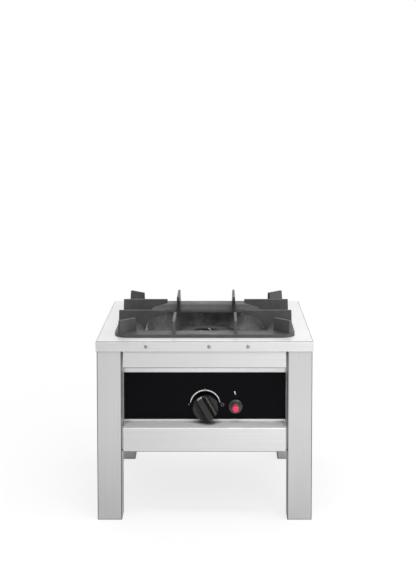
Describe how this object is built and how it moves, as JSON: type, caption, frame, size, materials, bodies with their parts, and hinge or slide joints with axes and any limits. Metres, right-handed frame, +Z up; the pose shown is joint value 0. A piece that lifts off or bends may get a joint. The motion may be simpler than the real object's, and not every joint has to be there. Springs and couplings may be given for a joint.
{
  "type": "stockpot stove",
  "caption": "Low free-standing gas stove of stainless sheet on square legs, with a cast pan support over a ring burner, a knob and a push igniter.",
  "frame": {"origin": "middle of the footprint, on the floor under the legs", "axes": "+X to the right as seen from the controls, +Y to the rear, +Z up"},
  "size_m": [0.58, 0.585, 0.5305],
  "materials": {
    "worktop_steel": "satin brushed",
    "leg_steel": "satin brushed",
    "casing_steel": "satin brushed",
    "well_steel": "polished",
    "zinc_steel": "zinc plated",
    "fascia_black": "gloss",
    "knob_black": "satin moulded",
    "plug_black": "moulded",
    "chrome": "polished",
    "button_red": "gloss",
    "burner_iron": "as cast",
    "support_iron": "matt enamelled",
    "brass": "machined",
    "copper": "drawn",
    "ceramic": "glazed ceramic",
    "lead_sleeve": "silicone"
  },
  "bodies": {
    "stove": {"top_plate": "worktop_steel", "leg_front_left": "leg_steel", "leg_front_right": "leg_steel", "leg_rear_left": "leg_steel", "leg_rear_right": "leg_steel", "leg_plugs": "plug_black", "upper_front_rail": "casing_steel", "lower_front_rail": "casing_steel", "upper_rear_rail": "casing_steel", "lower_rear_rail": "casing_steel", "left_side_panel": "casing_steel", "right_side_panel": "casing_steel", "rear_panel": "casing_steel", "control_panel": "casing_steel", "fascia": "fascia_black", "burner_well": "well_steel", "burner_body": "burner_iron", "outer_crown": "burner_iron", "inner_crown": "burner_iron", "burner_bolts": "zinc_steel", "air_shutter": "zinc_steel", "injector": "brass", "injector_bracket": "zinc_steel", "bracket_screws": "zinc_steel", "tap_body": "brass", "tap_cover": "zinc_steel", "tap_screws": "zinc_steel", "supply_pipe": "zinc_steel", "burner_pipe": "copper", "pipe_nuts": "brass", "gas_inlet": "brass", "inlet_nut": "zinc_steel", "thermocouple": "copper", "thermocouple_lead": "copper", "spark_electrode": "ceramic", "igniter_bracket": "zinc_steel", "ignition_lead": "lead_sleeve", "igniter_barrel": "plug_black", "igniter_bezel": "chrome", "igniter_nut": "zinc_steel", "button_spring": "zinc_steel", "lip_screws": "zinc_steel", "panel_screws": "zinc_steel"},
    "tap_rotor": {"tap_plug": "brass", "spindle_spring": "zinc_steel"},
    "knob_and_spindle": {"knob": "knob_black", "tap_spindle": "zinc_steel"},
    "push_button": {"igniter_button": "button_red"},
    "support": {"pan_support": "support_iron"}
  },
  "joints": [
    {"name": "knob_turn", "type": "hinge", "parent": "stove", "child": "tap_rotor", "pos_m": [0.002, -0.2, 0.293], "axis": [0, -1, 0], "range_deg": [-120, 60]},
    {"name": "knob_push", "type": "slide", "parent": "tap_rotor", "child": "knob_and_spindle", "axis": [0, 1, 0], "range_m": [0, 0.0045], "stiffness_N_per_m": 1500, "springref_m": -0.003, "deforming": ["spindle_spring"]},
    {"name": "button_push", "type": "slide", "parent": "stove", "child": "push_button", "axis": [0, 1, 0], "range_m": [0, 0.006], "stiffness_N_per_m": 1200, "springref_m": -0.003, "deforming": ["button_spring"]},
    {"name": "support_lift", "type": "slide", "parent": "stove", "child": "support", "axis": [0, 0, 1], "range_m": [0, 0.163]}
  ]
}
